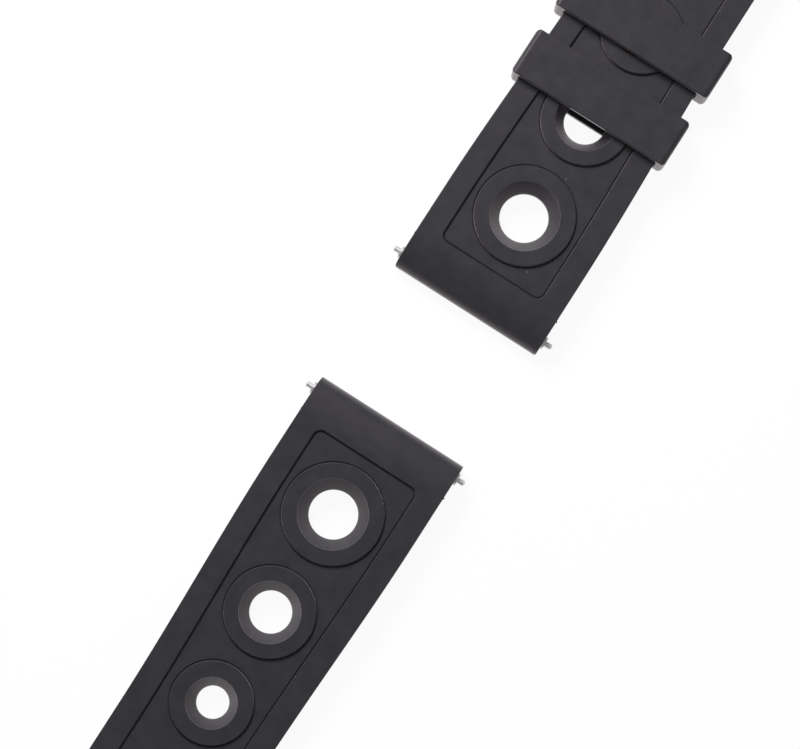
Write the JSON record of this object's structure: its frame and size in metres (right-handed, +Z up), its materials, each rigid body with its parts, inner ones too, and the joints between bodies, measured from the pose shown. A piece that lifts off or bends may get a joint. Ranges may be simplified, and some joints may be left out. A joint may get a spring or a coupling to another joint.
{
  "type": "silicone watch strap",
  "caption": "Black silicone watch strap in two halves with ringed round holes, loop keepers, sprung bars at the lug ends and a steel pin buckle.",
  "frame": {"origin": "on the surface that the strap lies on, under the middle of the whole strap", "axes": "+Y from the tail half to the buckle half, +X across the strap, +Z up"},
  "size_m": [0.0252, 0.2236, 0.0052],
  "materials": {
    "silicone": "fine matte moulded silicone",
    "bar_steel": "turned stainless steel",
    "spring_steel": "drawn spring wire",
    "buckle_steel": "satin stainless steel"
  },
  "bodies": {
    "buckle_half": {"strap_buckle_half": "silicone", "buckle_lug_bar_tube": "bar_steel", "buckle_lug_bar_spring": "spring_steel", "buckle_bar_tube": "bar_steel", "buckle_bar_spring": "spring_steel"},
    "tail_half": {"strap_tail_half": "silicone", "tail_lug_bar_tube": "bar_steel", "tail_lug_bar_spring": "spring_steel"},
    "keeper_lower": {"keeper_lower": "silicone"},
    "keeper_upper": {"keeper_upper": "silicone"},
    "buckle_frame": {"buckle_frame": "buckle_steel"},
    "buckle_tongue": {"buckle_tongue": "buckle_steel"},
    "buckle_lug_bar_tip_left": {"buckle_lug_bar_tip_left": "bar_steel"},
    "buckle_lug_bar_tip_right": {"buckle_lug_bar_tip_right": "bar_steel"},
    "tail_lug_bar_tip_left": {"tail_lug_bar_tip_left": "bar_steel"},
    "tail_lug_bar_tip_right": {"tail_lug_bar_tip_right": "bar_steel"},
    "buckle_bar_tip_left": {"buckle_bar_tip_left": "bar_steel"},
    "buckle_bar_tip_right": {"buckle_bar_tip_right": "bar_steel"}
  },
  "joints": [
    {"name": "halves_apart", "type": "slide", "parent": "buckle_half", "child": "tail_half", "axis": [0, -1, 0], "range_m": [0, 0.03]},
    {"name": "keeper_lower_slide", "type": "slide", "parent": "buckle_half", "child": "keeper_lower", "axis": [0, 1, 0], "range_m": [0, 0.0032]},
    {"name": "keeper_upper_slide", "type": "slide", "parent": "buckle_half", "child": "keeper_upper", "axis": [0, 1, 0], "range_m": [0, 0.0177]},
    {"name": "buckle_lug_bar_tip_left_press", "type": "slide", "parent": "buckle_half", "child": "buckle_lug_bar_tip_left", "axis": [1, 0, 0], "range_m": [0, 0.0012], "stiffness_N_per_m": 400, "springref_m": -0.001, "deforming": ["buckle_lug_bar_spring"]},
    {"name": "buckle_lug_bar_tip_right_press", "type": "slide", "parent": "buckle_half", "child": "buckle_lug_bar_tip_right", "axis": [-1, 0, 0], "range_m": [0, 0.0012], "stiffness_N_per_m": 400, "springref_m": -0.001, "deforming": ["buckle_lug_bar_spring"]},
    {"name": "tail_lug_bar_tip_left_press", "type": "slide", "parent": "tail_half", "child": "tail_lug_bar_tip_left", "axis": [1, 0, 0], "range_m": [0, 0.0012], "stiffness_N_per_m": 400, "springref_m": -0.001, "deforming": ["tail_lug_bar_spring"]},
    {"name": "tail_lug_bar_tip_right_press", "type": "slide", "parent": "tail_half", "child": "tail_lug_bar_tip_right", "axis": [-1, 0, 0], "range_m": [0, 0.0012], "stiffness_N_per_m": 400, "springref_m": -0.001, "deforming": ["tail_lug_bar_spring"]},
    {"name": "buckle_bar_tip_left_press", "type": "slide", "parent": "buckle_half", "child": "buckle_bar_tip_left", "axis": [1, 0, 0], "range_m": [0, 0.0012], "stiffness_N_per_m": 400, "springref_m": -0.001, "deforming": ["buckle_bar_spring"]},
    {"name": "buckle_bar_tip_right_press", "type": "slide", "parent": "buckle_half", "child": "buckle_bar_tip_right", "axis": [-1, 0, 0], "range_m": [0, 0.0012], "stiffness_N_per_m": 400, "springref_m": -0.001, "deforming": ["buckle_bar_spring"]},
    {"name": "buckle_swing", "type": "hinge", "parent": "buckle_half", "child": "buckle_frame", "pos_m": [0, 0.10072, 0.002], "axis": [1, 0, 0], "range_deg": [-60, 60]},
    {"name": "tongue_swing", "type": "hinge", "parent": "buckle_frame", "child": "buckle_tongue", "pos_m": [0, 0.10072, 0.002], "axis": [1, 0, 0], "range_deg": [0, 85]}
  ]
}
